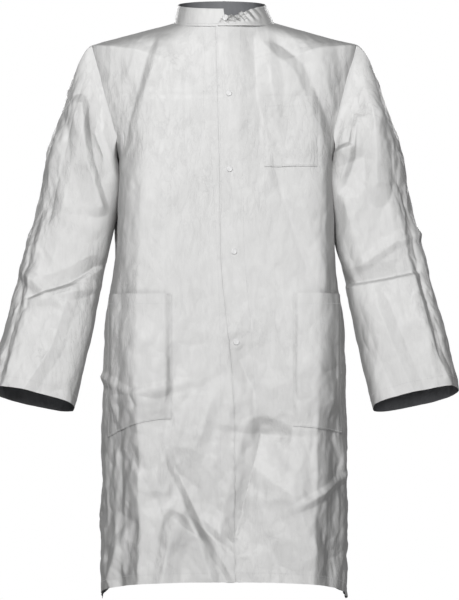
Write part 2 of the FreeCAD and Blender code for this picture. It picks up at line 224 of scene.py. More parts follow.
def lattice(points, seed):
    """Smooth noise between -1 and 1 at 3-D points."""
    cell = np.floor(points).astype(np.int64)
    part = points - cell
    part = part * part * (3 - 2 * part)
    total = np.zeros(points.shape[:-1])
    for corner in range(8):
        offset = np.array([corner & 1, corner >> 1 & 1, corner >> 2 & 1])
        mix = stir(cell + offset, seed)
        mix = (mix ^ (mix >> 13)) * 1274126177 & 0x7FFFFFFF
        value = (mix % 65521) / 32760.0 - 1
        weight = np.prod(np.where(offset == 1, part, 1 - part), -1)
        total += weight * value
    return total


def wave(x):
    """A zigzag between -1 and 1 with period 1: straight slopes and sharp creases."""
    return 4 * np.abs(x - np.floor(x + 0.5)) - 1


def scatter(cell, seed):
    """Six repeatable random numbers between 0 and 1 for each lattice cell."""
    mix = stir(cell, seed) & 0x7FFFFFFF
    numbers = []
    for _ in range(6):
        mix = (mix * 1103515245 + 12345) & 0x7FFFFFFF
        mix ^= mix >> 15
        numbers.append((mix & 0xFFFF) / 65536.0)
    return np.stack(numbers, -1)


def facets(points, size, seed, stretch=1.0, lean=1.1):
    """Crisp ridges round shallow facets: the lower envelope of tilted bowls about scattered centres."""
    place = points / (size * np.array([1.0, 1.0, stretch]))
    cell = np.floor(place).astype(np.int64)
    best = np.full(points.shape[:-1], 9.0)
    for k in range(27):
        near = cell + np.array([k % 3 - 1, k // 3 % 3 - 1, k // 9 - 1])
        random = scatter(near, seed)
        away = place - near - random[..., :3]
        bowl = (away ** 2).sum(-1) + lean * (away * (random[..., 3:] - 0.5)).sum(-1)
        best = np.minimum(best, bowl)
    return size * (best - 0.2)


def crumple(points, seed=0, sizes=(0.10, 0.05, 0.026, 0.014), stretch=1.5):
    """Crushed-film relief: facets of several sizes, some pushed out and some in, fading in patches."""
    bent = points + 0.006 * np.stack([lattice(points * 17, seed + k) for k in range(3)], -1)
    total = np.zeros(points.shape[:-1])
    for k, size in enumerate(sizes):
        sign = 1 if k % 2 == 0 else -1
        patch = 0.35 + 0.65 * smoothstep(-0.3, 0.4, lattice(points * 0.55 / size, seed + 20 + k))
        total += sign * patch * facets(bent, size, seed * 7 + k, stretch)
    return total


def crease(points, line, depth, left, right, fade=0.045):
    """A sharp fold along a line of (x, z) points, sloping away over left and right, and past its ends."""
    best = np.full(points.shape[:-1], -1.0)
    for (x0, z0), (x1, z1) in zip(line, line[1:]):
        dx, dz = x1 - x0, z1 - z0
        length = math.hypot(dx, dz)
        along = ((points[..., 0] - x0) * dx + (points[..., 2] - z0) * dz) / length
        across = ((points[..., 0] - x0) * dz - (points[..., 2] - z0) * dx) / length
        over = np.maximum(0, np.maximum(-along, along - length))
        reach = np.where(across > 0, right, left)
        best = np.maximum(best, 1 - np.hypot(across / reach, over / fade))
    return depth * np.maximum(0, best)


# folds of the body: line of (x, z), height, reach to the left and right of the line, looking along it, and
# for some the length over which they fade past their ends; the first ones are the long packing creases
FRONT_FOLDS = [
    ([(-0.135, 0.92), (-0.144, 0.6), (-0.147, 0.54), (-0.139, 0.3), (-0.136, 0.0)],
     0.008, 0.12, 0.045, 0.1),
    ([(0.166, 0.9), (0.162, 0.6), (0.156, 0.45), (0.144, 0.0)], 0.008, 0.045, 0.12, 0.1),
    ([(-0.14, 0.34), (-0.136, 0.0)], 0.016, 0.12, 0.038, 0.3),
    ([(0.154, 0.34), (0.144, 0.0)], 0.016, 0.036, 0.12, 0.3),
    ([(0.054, 0.995), (0.057, 0.89), (0.105, 0.712), (0.144, 0.587)], -0.008, 0.026, 0.05),
    ([(0.026, 0.43), (0.06, 0.365), (0.066, 0.31)], -0.009, 0.06, 0.022, 0.05),
    ([(0.066, 0.305), (0.02, 0.125)], -0.017, 0.055, 0.032, 0.03),
    ([(0.02, 0.306), (0.12, 0.298)], -0.003, 0.012, 0.012),
    ([(-0.078, 0.235), (-0.043, 0.16)], -0.013, 0.05, 0.012),
    ([(-0.07, 0.146), (-0.043, 0.125), (-0.014, 0.03)], 0.013, 0.016, 0.05),
    ([(-0.043, 0.13), (0.012, 0.04)], 0.01, 0.012, 0.045),
    ([(-0.027, 0.15), (0.012, 0.118)], 0.007, 0.03, 0.012),
    ([(-0.086, 0.15), (-0.108, 0.0)], 0.013, 0.028, 0.06),
    ([(-0.18, 0.1), (-0.196, 0.048), (-0.182, 0.005)], 0.008, 0.014, 0.014),
    ([(0.144, 0.189), (0.19, 0.215)], 0.005, 0.01, 0.012),
    ([(-0.14, 0.89), (-0.01, 0.892)], -0.0006, 0.006, 0.006),
    ([(-0.132, 0.965), (-0.15, 0.9), (-0.168, 0.83)], -0.005, 0.014, 0.024),
    ([(-0.11, 0.96), (-0.16, 0.85)], 0.003, 0.018, 0.024),
    ([(0.1, 0.985), (0.14, 0.95), (0.176, 0.86)], -0.007, 0.022, 0.022),
    ([(0.078, 0.945), (0.09, 0.85), (0.08, 0.76)], 0.004, 0.02, 0.024),
    ([(-0.215, 0.4), (-0.15, 0.37), (-0.09, 0.385)], 0.004, 0.01, 0.014),
    ([(0.08, 0.46), (0.1, 0.33), (0.09, 0.18)], -0.006, 0.024, 0.034),
    ([(0.034, 0.26), (0.11, 0.2), (0.15, 0.1)], 0.006, 0.02, 0.026),
    ([(-0.08, 0.42), (-0.1, 0.3), (-0.086, 0.2)], -0.006, 0.022, 0.03),
    ([(-0.02, 0.36), (-0.06, 0.25)], 0.005, 0.02, 0.024),
    ([(-0.145, 0.25), (-0.1, 0.16), (-0.12, 0.05)], -0.006, 0.018, 0.024),
]
BACK_FOLDS = [
    ([(-0.14, 0.66), (-0.14, 0.45), (-0.138, 0.0)], 0.018, 0.12, 0.075, 0.26),
    ([(0.145, 0.66), (0.145, 0.45), (0.142, 0.0)], 0.018, 0.075, 0.12, 0.26),
    ([(0.0, 0.8), (0.004, 0.5), (0.0, 0.0)], 0.008, 0.07, 0.07, 0.2),
    ([(-0.12, 0.96), (-0.085, 0.8), (-0.1, 0.6)], -0.008, 0.03, 0.04),
    ([(0.12, 0.96), (0.08, 0.82), (0.1, 0.62)], -0.008, 0.03, 0.04),
    ([(-0.06, 0.55), (-0.08, 0.3), (-0.06, 0.02)], -0.008, 0.035, 0.04),
    ([(0.07, 0.5), (0.06, 0.25), (0.09, 0.02)], -0.008, 0.035, 0.04),
    ([(-0.2, 0.4), (-0.1, 0.36)], 0.004, 0.014, 0.018),
    ([(0.04, 0.44), (0.16, 0.4)], 0.004, 0.014, 0.018),
    ([(-0.1, 0.2), (0.02, 0.26)], -0.004, 0.014, 0.02),
]


def front_distance(points, x, z):
    """Distance of points from a place on the front, seen from the front; large for those behind."""
    return np.hypot(points[..., 0] - x, points[..., 2] - z) + 9 * (points[..., 1] > 0)


def body_relief(points):
    """How far the body's cloth stands off its sections: folds, crumples, and flat spots under the snaps."""
    depth, across, height = points[..., 1], np.abs(points[..., 0]), points[..., 2]
    relief = np.zeros(points.shape[:-1])
    for folds, turned_depth in ((FRONT_FOLDS, -0.045), (BACK_FOLDS, 0.045)):
        shown = smoothstep(0.0, turned_depth, depth)
        for fold in folds:
            relief += shown * crease(points, *fold)
    low = smoothstep(0.62, 0.20, height)
    side = smoothstep(0.120, 0.160, across) * smoothstep(0.98, 0.86, height)
    relief += (0.07 + 0.10 * low) * crumple(points, seed=1)
    relief += (0.05 + 0.06 * low + 0.07 * side) * crumple(points, seed=3, sizes=(0.024, 0.012), stretch=3.0)
    relief += 0.002 * lattice(points * 9, 5)
    relief *= 1 - 0.75 * smoothstep(0.985, 1.015, height)
    for x, z in SNAPS:
        distance = front_distance(points, x, z)
        flat = smoothstep(0.014, 0.006, distance)
        relief = relief * (1 - flat) + relief.flat[distance.argmin()] * flat
    return relief


# ---------- sheets to meshes

class Sheet:
    """A grid of points with a normal at each, thickened into a closed cloth mesh."""

    def __init__(self, points, outwards=None, wrap=False):
        self.points = points
        self.wrap = wrap
        self.outwards = outwards
        self.normals = self.find_normals()

    def find_normals(self):
        p = self.points
        if self.wrap:
            ring = np.concatenate([p[:, -2:-1], p, p[:, 1:2]], 1)
            across = ring[:, 2:] - ring[:, :-2]
        else:
            across = np.gradient(p, axis=1)
        along = np.gradient(p, axis=0)
        normal = np.cross(along, across)
        size = np.linalg.norm(normal, axis=-1, keepdims=True)
        normal = normal / np.maximum(size, 1e-12)
        if self.outwards is not None and (normal * self.outwards(p)).sum() < 0:
            normal = -normal
        return normal

    def lift(self, amount):
        self.points = self.points + self.normals * np.asarray(amount)[..., None]
        self.normals = self.find_normals()
        return self

    def widths(self):
        """Length of each row."""
        return np.linalg.norm(np.diff(self.points, axis=1), axis=2).sum(1)

    def at(self, row, column):
        """Points and normals at fractional row and column numbers."""
        rows, columns = self.points.shape[:2]
        r = np.clip(row, 0, rows - 1.001)
        c = np.clip(column, 0, columns - 1.001)
        i, j = r.astype(int), c.astype(int)
        u, v = (r - i)[:, None], (c - j)[:, None]
        found = []
        for grid in (self.points, self.normals):
            found.append((grid[i, j] * (1 - v) + grid[i, j + 1] * v) * (1 - u)
                         + (grid[i + 1, j] * (1 - v) + grid[i + 1, j + 1] * v) * u)
        return found


def grid_faces(rows, columns, offset, flip):
    i, j = np.meshgrid(np.arange(rows - 1), np.arange(columns - 1), indexing="ij")
    a = offset + i * columns + j
    quads = np.stack([a, a + 1, a + columns + 1, a + columns], -1).reshape(-1, 4)
    return quads[:, [0, 3, 2, 1]] if flip else quads


def rim_faces(rows, columns, wrap, flip):
    """Quads that join the edges of the outer layer to those of the inner one, numbered after it."""
    second = rows * columns
    top = np.arange(columns)
    loops = [top[::-1], (rows - 1) * columns + top]
    if not wrap:
        side = np.arange(rows) * columns
        loops += [side, side[::-1] + columns - 1]
    quads = []
    for loop in loops:
        quads.append(np.stack([loop[:-1], loop[1:], loop[1:] + second, loop[:-1] + second], -1))
    quads = np.concatenate(quads)
    return quads[:, ::-1] if flip else quads


def along(values, arc, at):
    """Values given at arc positions, such as points, at other positions."""
    return np.stack([np.interp(at, arc, values[:, k]) for k in range(3)], -1)


def stitch_run(points, normals):
    """Short thread capsules along a seam, as vertices and faces."""
    steps = np.linalg.norm(np.diff(points, axis=0), axis=1)
    arc = np.concatenate([[0], np.cumsum(steps)])
    if arc[-1] < 3 * STITCH:
        return np.zeros((0, 3)), np.zeros((0, 4), int)
    starts = np.arange(STITCH * 0.5, arc[-1] - STITCH, STITCH)

    a, b = along(points, arc, starts), along(points, arc, starts + STITCH * STITCH_SHARE)
    up = along(normals, arc, starts)
    side = np.cross(b - a, up)
    side /= np.maximum(np.linalg.norm(side, axis=1, keepdims=True), 1e-9)
    # share of the stitch's length, share of the thread's radius, height above the cloth
    stations = ((0.0, 0.10, -0.00005), (0.2, 1.0, 0.00022), (0.8, 1.0, 0.00022), (1.0, 0.10, -0.00005))
    around = np.radians([45, 135, 225, 315])
    rings = []
    for share, swell, rise in stations:
        centre = a + (b - a) * share + up * rise
        for angle in around:
            rings.append(centre + swell * THREAD_RADIUS * (side * math.cos(angle) + up * math.sin(angle)))
    vertices = np.stack(rings, 1).reshape(-1, 3)
    faces = []
    for ring in range(3):
        for k in range(4):
            n = (k + 1) % 4
            faces.append([ring * 4 + k, ring * 4 + n, ring * 4 + 4 + n, ring * 4 + 4 + k])
    faces += [[3, 2, 1, 0], [12, 13, 14, 15]]
    faces = (np.array(faces)[None] + 16 * np.arange(len(starts))[:, None, None]).reshape(-1, 4)
    return vertices, faces


def add_object(name, data):
    """A new object in the scene that shows a mesh, a light or a camera."""
    thing = bpy.data.objects.new(name, data)
    bpy.context.scene.collection.objects.link(thing)
    return thing


def new_object(name, vertices, faces, face_slots, materials):
    """A mesh of triangles from four-cornered faces, each cut from its first corner to its third."""
    triangles = faces[:, [0, 1, 2, 0, 2, 3]].reshape(-1, 3)
    mesh = bpy.data.meshes.new(name)
    mesh.vertices.add(len(vertices))
    mesh.vertices.foreach_set("co", np.ascontiguousarray(vertices, np.float32).ravel())
    mesh.loops.add(len(triangles) * 3)
    mesh.polygons.add(len(triangles))
    mesh.polygons.foreach_set("loop_start", np.arange(0, len(triangles) * 3, 3))
    mesh.loops.foreach_set("vertex_index", np.ascontiguousarray(triangles, np.int32).ravel())
    mesh.polygons.foreach_set("material_index", np.repeat(face_slots, 2).astype(np.int32))
    mesh.polygons.foreach_set("use_smooth", np.ones(len(triangles), bool))
    for material in materials:
        mesh.materials.append(material)
    mesh.update(calc_edges=True)
    mesh.validate()
    mesh.set_sharp_from_angle(angle=SHARP)
    return add_object(name, mesh)


def cloth_piece(name, sheet, materials, seams=(), thickness=THICK):
    """Closed cloth mesh from a sheet: outer face, inner face, rim, and the stitches of its seams."""
    rows, columns = sheet.points.shape[:2]
    outer = sheet.points.reshape(-1, 3)
    inner = (sheet.points - sheet.normals * thickness).reshape(-1, 3)
    flip = np.sum(np.cross(sheet.points[1, 0] - sheet.points[0, 0], sheet.points[0, 1] - sheet.points[0, 0])
                  * sheet.normals[0, 0]) > 0
    faces = [grid_faces(rows, columns, 0, flip), grid_faces(rows, columns, rows * columns, not flip),
             rim_faces(rows, columns, sheet.wrap, not flip)]
    slots = [np.zeros(len(faces[0])), np.ones(len(faces[1])), np.zeros(len(faces[2]))]
    vertices = [outer, inner]
    if sheet.wrap:
        index = np.arange(2 * rows * columns)
        last = (index % columns) == columns - 1
        index[last] -= columns - 1
        faces = [index[f] for f in faces]
    count = 2 * rows * columns
    for points, normals in seams:
        v, f = stitch_run(points, normals)
        vertices.append(v)
        faces.append(f + count)
        slots.append(np.full(len(f), 2))
        count += len(v)
    return new_object(name, np.concatenate(vertices), np.concatenate(faces), np.concatenate(slots), materials)


def edge_seam(sheet, side, inset):
    """A seam parallel to a sheet's edge: side is 'low', 'high', 'first' or 'last'."""
    rows, columns = sheet.points.shape[:2]
    if side in ("first", "last"):
        offset = inset / sheet.widths() * (columns - 1)
        column = offset if side == "first" else columns - 1 - offset
        return sheet.at(np.arange(rows, dtype=float), column)
    heights = np.linalg.norm(np.diff(sheet.points, axis=0), axis=2).sum(0)
    offset = inset / heights * (rows - 1)
    row = offset if side == "low" else rows - 1 - offset
    return sheet.at(row, np.arange(columns, dtype=float))


# ---------- materials

def node_material(name):
    material = bpy.data.materials.new(name)
    material.use_nodes = True
    tree = material.node_tree
    return material, tree, tree.nodes["Principled BSDF"]


def feed(node, inputs):
    """Sets inputs of a node: an output of another node is linked, anything else is the input's value."""
    for key, value in inputs.items():
        if isinstance(value, bpy.types.NodeSocket):
            node.id_data.links.new(value, node.inputs[key])
        else:
            node.inputs[key].default_value = value


def add_node(tree, kind, output, inputs=None, **settings):
    """A new shader node; what comes back is the output that the next node reads."""
    node = tree.nodes.new("ShaderNode" + kind)
    for key, value in settings.items():
        setattr(node, key, value)
    feed(node, inputs or {})
    return node.outputs[output]


def map_range(value, low, high, to_low=0.0, to_high=1.0):
    """Carries the range low to high of a node's output onto another one, held at its ends."""
    inputs = {"Value": value, "From Min": low, "From Max": high, "To Min": to_low, "To Max": to_high}
    return add_node(value.id_data, "MapRange", "Result", inputs)


def noise(vector, scale, detail, roughness=0.5, distortion=0.0, kind="FBM"):
    inputs = {"Vector": vector, "Scale": scale, "Detail": detail, "Roughness": roughness,
              "Distortion": distortion}
    return add_node(vector.id_data, "TexNoise", "Fac", inputs, noise_type=kind)


def nonwoven(name, light, dark, roughness, sheen):
    """Flash-spun cloth: swirled fibres, a faint mottle of thick and thin, fine crinkles, a waxy sheen.

    Cloth turned away from the viewer has painted shade: its colour is darkened by its angle to the viewer,
    standing in for the light that goes through it.
    """
    material, tree, shader = node_material(name)
    place = add_node(tree, "TexCoord", "Object")
    upright = add_node(tree, "Mapping", "Vector", {"Vector": place, "Scale": (1.0, 1.0, 0.35)})
    draped = add_node(tree, "Mapping", "Vector",
                      {"Vector": place, "Scale": (1.0, 1.0, 0.16), "Rotation": (0.0, 0.12, 0.0)})
    mottle = noise(upright, 46.0, 6.0, 0.6, 1.6)
    fibres = noise(upright, 420.0, 4.0, 0.7, 3.0)
    streaks = noise(draped, 150.0, 3.0, 0.5, 0.6, "RIDGED_MULTIFRACTAL")
    crush = noise(upright, 24.0, 5.0, 0.5, 0.9, "RIDGED_MULTIFRACTAL")
    wear = map_range(noise(place, 7.0, 2.0), 0.42, 0.62, 0.25, 1.0)
    warped = add_node(tree, "Mix", 1, {"Factor": 0.04, 4: upright, 5: mottle.node.outputs["Color"]},
                      data_type="VECTOR")
    crinkle = add_node(tree, "TexVoronoi", "Distance", {"Vector": warped, "Scale": 60.0},
                       feature="DISTANCE_TO_EDGE")
    layers = ((fibres, 0.25, 0.0004), (streaks, 0.42, 0.0007), (crush, 0.60, 0.0022),
              (map_range(crinkle, 0.0, 0.10), 0.35, 0.0010))
    normal = None
    for height, strength, distance in layers:
        inputs = {"Height": height, "Strength": strength, "Distance": distance}
        if normal is not None:
            worn = add_node(tree, "Math", "Value", {0: wear, 1: strength}, operation="MULTIPLY")
            inputs.update({"Normal": normal, "Strength": worn})
        normal = add_node(tree, "Bump", "Normal", inputs)
    colour = add_node(tree, "Mix", "Result", {"Factor": map_range(mottle, 0.3, 0.7), "A": (*dark, 1),
                                              "B": (*light, 1)}, data_type="RGBA")
    # painted shade: the colour is darkened where the cloth turns away from the viewer, standing in for light
    # through the thin cloth
    turned = add_node(tree, "LayerWeight", "Facing", {"Blend": 0.5, "Normal": normal})
    painted_turn_shade = map_range(turned, 0.12, 0.58, 1.0, 0.50)
    colour_with_painted_shade = add_node(tree, "VectorMath", "Vector", {0: colour, "Scale": painted_turn_shade}, operation="SCALE")
    feed(shader, {"Normal": normal, "Base Color": colour_with_painted_shade, "Sheen Weight": sheen, "Sheen Roughness": 0.4,
                  "Specular IOR Level": 0.35,
                  "Roughness": map_range(mottle, 0.0, 1.0, roughness - 0.06, roughness + 0.08)})
    return material


def small_part(name, colour, roughness, texture, inputs, strength):
    """A plain surface with one fine texture as bump."""
    material, tree, shader = node_material(name)
    place = add_node(tree, "TexCoord", "Object")
    height = add_node(tree, texture, "Fac", {"Vector": place, **inputs})
    normal = add_node(tree, "Bump", "Normal", {"Height": height, "Strength": strength, "Distance": 0.0002})
    feed(shader, {"Base Color": (*colour, 1), "Roughness": roughness, "Normal": normal})
    return material


def snap_plastic():
    """White moulded plastic with a faint orange-peel surface."""
    peel = {"Scale": 900.0, "Detail": 2.0}
    return small_part("snap_plastic", (0.92, 0.92, 0.92), 0.28, "TexNoise", peel, 0.12)


def thread_material():
    """Twisted white polyester thread."""
    twist = {"Scale": 700.0, "Distortion": 2.0}
    return small_part("thread", (0.82, 0.82, 0.82), 0.55, "TexWave", twist, 0.4)


WHITE = nonwoven("nonwoven_outside", (0.92, 0.918, 0.911), (0.84, 0.838, 0.832), 0.46, 0.15)
# painted shade: the inner faces are coloured dark grey, standing in for the shadow inside the coat; the cloth
# itself is white on both sides
INSIDE_PAINTED_SHADE = nonwoven("nonwoven_inside_painted_shade", (0.25, 0.254, 0.268), (0.215, 0.218, 0.231), 0.6, 0.05)
THREAD = thread_material()
SNAP = snap_plastic()
# materials by slot: outer face, inner face with painted shade, stitches
CLOTH = [WHITE, INSIDE_PAINTED_SHADE, THREAD]
WHITE_BOTH_SIDES = [WHITE, WHITE, THREAD]

# ---------- body panels

# the front edges by level: the left one lies on top
LEFT_EDGE = {0.0: (0.020,), 0.125: (0.018,), 0.30: (0.019,), 0.45: (0.010,), 0.62: (-0.005,),
             0.765: (-0.007,), 0.925: (-0.011,), TOP: (-0.014,)}
RIGHT_EDGE = {0.0: (0.034,), 0.45: (0.034,), 0.80: (0.018,), TOP: (0.0035,)}
LEFT_EDGE_X = monotone(LEFT_EDGE, 0)
RIGHT_EDGE_X = monotone(RIGHT_EDGE, 0)
OVERLAP = 0.0038        # how far the left front stands off the right one
FACING = 0.042          # width of the strip folded back behind a front's edge
FACING_DROP = 0.0019    # its face's distance behind the front's face
HEM_TRIM = 0.35         # height over which the cloth's rows are moved up to meet the hem


def away_from_axis(p):
    """Rough outward direction of the body's cloth."""
    return p * np.array([1.0, 1.0, 0.3]) - np.array([0, 0, 0.2])


def hem_level(y):
    """Height of the hem: raised at the front, a little at the back, lowest at the sides."""
    return 0.003 + 0.30 * np.maximum(0, -y) + 0.10 * np.maximum(0, y)


def trim_hem(points):
    """Moves the sheet's rows up so that its lowest row lies on the hem."""
    low = hem_level(points[0, :, 1])
    height = points[..., 2]
    share = np.clip(1 - height / HEM_TRIM, 0, 1)
    points[..., 2] = height + share * low[None, :]
    return points


def body_panel(name, grid, insets=(), overlap=0.0):
    """One sheet of the body, sewn along its hem and at insets from its front edge.

    Overlap is how far that edge stands off the panel below it.
    """
    sheet = Sheet(trim_hem(grid), away_from_axis)
    sheet.lift(body_relief(sheet.points))
    from_edge = np.linspace(0, 1, sheet.points.shape[1])[None, :] * sheet.widths()[:, None]
    sheet.lift(overlap * smoothstep(0.10, 0.03, from_edge))
    seams = [edge_seam(sheet, "first", inset) for inset in insets]
    seams.append(edge_seam(sheet, "low", HEM_FOLD))
    return cloth_piece(name, sheet, CLOTH, seams), sheet


EDGE_SEAM = 0.002       # the seam nearest the left front's edge
left_front, left_sheet = body_panel("left_front", front_grid(LEFT_EDGE_X, 1), (EDGE_SEAM, FACING), OVERLAP)
right_front, right_sheet = body_panel("right_front", front_grid(RIGHT_EDGE_X, -1), (FACING,))
back_cloth, back_sheet = body_panel("back_cloth", back_grid())

# ---------- sleeves

# stations down the sleeve: share of length, centre (x, y, z), half width, half depth, lean and forward
# swing in degrees; above the first station the sleeve runs in a curve to the armhole
SLEEVE = {
    0.16: (0.238, 0.000, 0.813, 0.0745, 0.066, 44.0, 0.0),
    0.33: (0.2565, 0.000, 0.717, 0.0720, 0.066, 14.0, 0.0),
    0.55: (0.284, -0.008, 0.600, 0.0740, 0.065, 12.4, 8.0),
    0.78: (0.309, -0.040, 0.480, 0.0755, 0.060, 12.4, 15.0),
    1.00: (0.334, -0.075, 0.361, 0.0765, 0.054, 12.4, 16.5),
}
SLEEVE_CURVES = [monotone(SLEEVE, column) for column in range(7)]
SPLIT = 0.40            # share of the length where the upper and lower sleeve pieces meet
SLEEVE_ANGLES = 300
SLEEVE_LENGTH = 0.66
SLEEVE_SQUARE = 2.8     # squareness of its section; 2 is an ellipse
TIP_SLACK = 0.0002      # how near the armhole's tip a point counts as part of it


def sleeve_ring(share, side, angle):
    """Points round the sleeve: angle 0 is the armpit seam, 90 degrees the front, 180 the outside."""
    x, y, z, width, depth, lean, swing = (curve(share) for curve in SLEEVE_CURVES)
    lean, swing = math.radians(float(lean)), math.radians(float(swing))
    across = np.array([side * math.cos(lean), 0.0, math.sin(lean)])
    down = np.array([side * math.sin(lean) * math.cos(swing), -math.sin(swing),
                     -math.cos(lean) * math.cos(swing)])
    back = np.cross(across, down) * side
    centre = np.array([side * float(x), float(y), float(z)])
    c, s = np.cos(angle), np.sin(angle)
    r = (np.abs(c) ** SLEEVE_SQUARE + np.abs(s) ** SLEEVE_SQUARE) ** (-1 / SLEEVE_SQUARE)
    return centre - np.outer(r * c * float(width), across) - np.outer(r * s * float(depth), back)


def armhole_ring(side, front_cloth, angle):
    """The torso's armhole edge as a closed ring in the sleeve's order: armpit, front, shoulder tip, back."""
    front = front_cloth.points[:, -1]
    back = back_sheet.points[:, 0] if side > 0 else back_sheet.points[:, -1]
    halves = []
    for edge in (front, back):
        tip = side * edge[:, 0] >= ARMHOLE_TIP[0] - TIP_SLACK
        halves.append(edge[(LEVELS >= ARMHOLE_LOW[1]) & ((LEVELS <= SHOULDER) | tip)])
    loop = np.concatenate([halves[0], halves[1][::-1]])
    loop = np.concatenate([loop, loop[:1]])
    arc = np.concatenate([[0], np.cumsum(np.linalg.norm(np.diff(loop, axis=0), axis=1))])
    at = angle / (2 * math.pi) * arc[-1]
    return np.stack([np.interp(at, arc, loop[:, k]) for k in range(3)], -1)


# folds of the sleeves as seen from the front, given as those of the body are
LEFT_SLEEVE_FOLDS = [
    ([(0.235, 0.97), (0.262, 0.86), (0.268, 0.74)], 0.007, 0.03, 0.02),
    ([(0.192, 0.79), (0.228, 0.805), (0.236, 0.854)], 0.009, 0.01, 0.024, 0.02),
    ([(0.236, 0.86), (0.231, 0.783), (0.212, 0.735)], -0.007, 0.034, 0.01, 0.02),
    ([(0.224, 0.564), (0.274, 0.573), (0.331, 0.584)], -0.007, 0.026, 0.007, 0.02),
    ([(0.331, 0.584), (0.367, 0.445), (0.385, 0.4)], 0.007, 0.012, 0.034, 0.03),
    ([(0.25, 0.6), (0.3, 0.635), (0.33, 0.645)], 0.004, 0.016, 0.012),
    ([(0.27, 0.52), (0.3, 0.44), (0.33, 0.37)], 0.006, 0.02, 0.03),
    ([(0.33, 0.66), (0.352, 0.55), (0.372, 0.44)], -0.005, 0.012, 0.016),
    ([(0.215, 0.7), (0.245, 0.6)], 0.004, 0.014, 0.018),
]
RIGHT_SLEEVE_FOLDS = [
    ([(-0.235, 0.97), (-0.262, 0.87), (-0.3, 0.72), (-0.318, 0.62)], -0.006, 0.022, 0.03),
    ([(-0.205, 0.93), (-0.222, 0.83), (-0.196, 0.76)], -0.009, 0.01, 0.026, 0.02),
    ([(-0.25, 0.88), (-0.24, 0.78), (-0.215, 0.7)], 0.009, 0.012, 0.03, 0.02),
    ([(-0.225, 0.59), (-0.27, 0.565), (-0.335, 0.545)], -0.007, 0.007, 0.024, 0.02),
    ([(-0.345, 0.575), (-0.3, 0.54), (-0.255, 0.55)], 0.005, 0.016, 0.014),
    ([(-0.275, 0.53), (-0.3, 0.45), (-0.345, 0.38)], 0.006, 0.02, 0.028),
    ([(-0.335, 0.66), (-0.358, 0.55), (-0.385, 0.42)], -0.005, 0.012, 0.018),
]


def sleeve_relief(points, side, share):
    """How far a sleeve's cloth stands off its rings; share is the place along its length."""
    front = smoothstep(0.035, -0.02, points[..., 1] + 0.075 * smoothstep(0.5, 1.0, share))
    relief = np.zeros(points.shape[:-1])
    for fold in LEFT_SLEEVE_FOLDS if side > 0 else RIGHT_SLEEVE_FOLDS:
        relief += crease(points, *fold)
    relief *= front
    middle = 0.205 + 0.32 * (SHOULDER - points[..., 2]) * 0.6
    outer = smoothstep(0.02, 0.06, side * points[..., 0] - middle)
    relief += (0.09 + 0.05 * outer) * crumple(points, seed=7 + side)
    relief += (0.05 + 0.13 * outer) * crumple(points, seed=17 + side, sizes=(0.018, 0.009), stretch=3.0)
    relief += 0.002 * lattice(points * 11, 9)
    around = np.linspace(0, 2 * math.pi, points.shape[1])[None, :]
    against_body = smoothstep(0.45, 0.90, np.cos(around)) * smoothstep(0.60, 0.68, points[..., 2])
    return relief * smoothstep(0.0, 0.12, share) * (1 - against_body)


def sleeve_grid(side, front_cloth):
    """The whole sleeve as rows of rings from the armhole to the cuff, and each row's share of its length."""
    shares = np.linspace(0, 1, int(SLEEVE_LENGTH / SPACING) + 2)
    angle = np.linspace(0, 2 * math.pi, SLEEVE_ANGLES + 1)
    first = armhole_ring(side, front_cloth, angle)
    crown_share, step = min(SLEEVE), 0.02
    crown = sleeve_ring(crown_share, side, angle)
    flow = (sleeve_ring(crown_share + step, side, angle) - crown) / step * crown_share
    top = (1 - np.cos(angle))[:, None] / 2
    out = top * np.array([side * 0.079, 0.0, -0.026]) + (1 - top) * np.array([side * 0.004, 0.0, -0.050])
    rows = []
    for share in shares:
        u = share / crown_share
        if u < 1:
            rows.append(first * (1 + 2 * u) * (1 - u) ** 2 + crown * u * u * (3 - 2 * u)
                        + out * u * (1 - u) ** 2 - flow * u * u * (1 - u))
        else:
            rows.append(sleeve_ring(share, side, angle))
    return np.array(rows), shares[:, None]


def away_from_middle(p):
    """Outward direction of a sleeve's rings."""
    return p - p[:, :-1].mean(1, keepdims=True)


def make_sleeve(side, name, front_cloth):
    """A sleeve's upper and lower cloth, cut from one sheet at the split."""
    points, share = sleeve_grid(side, front_cloth)
    whole = Sheet(points, away_from_middle, wrap=True)
    whole.lift(sleeve_relief(points, side, share))
    split = int(SPLIT * (len(points) - 1))
    made = []
    for half, rows, edge, inset in (("upper", slice(0, split + 1), "low", 0.003),
                                    ("lower", slice(split, None), "high", HEM_FOLD)):
        part = Sheet(whole.points[rows], away_from_middle, wrap=True)
        part.normals = whole.normals[rows]
        seams = [edge_seam(part, edge, inset)]
        made.append(cloth_piece("%s_sleeve_%s_cloth" % (name, half), part, CLOTH, seams))
    return made


left_sleeve = make_sleeve(1, "left", left_sheet)
right_sleeve = make_sleeve(-1, "right", right_sheet)

# ---------- collar


COLLAR_RISE = 0.040     # rough height and radius of the collar, which only set how fine its sheet is
COLLAR_RADIUS = 0.085
COLLAR_THICK = 0.0012


def collar_sheet(first_angle, last_angle, crush, slant):
    """The stand collar between two angles from the front centre.

    Crush gathers its top edge near the front; slant is how much further round its end starts at the top.
    """
    rows = max(8, int(COLLAR_RISE / SPACING * 1.5))
    columns = int(abs(last_angle - first_angle) * COLLAR_RADIUS / (SPACING * 0.7))
    share = np.linspace(-0.10, 1, rows)[:, None]
    first = first_angle + slant * share
    angle = first + (last_angle - first) * np.linspace(0, 1, columns)[None, :]
    rings = []
    for ring, shift in ((NECK, 0.0), (COLLAR_TOP, -0.004)):
        x, y, z = tilted_ring(angle, ring, 2.1)
        rings.append(np.stack([x + shift, y, z], -1))
    points = rings[0] * (1 - share[..., None]) + rings[1] * share[..., None]
    sag = smoothstep(1.05, 0.0, np.abs(angle)) * (0.017 + 0.003 * wave(angle * 4.2))
    points[..., 2] -= crush * np.maximum(share, 0) * sag
    return Sheet(points, away_from_axis), angle + 0 * share, share + 0 * angle


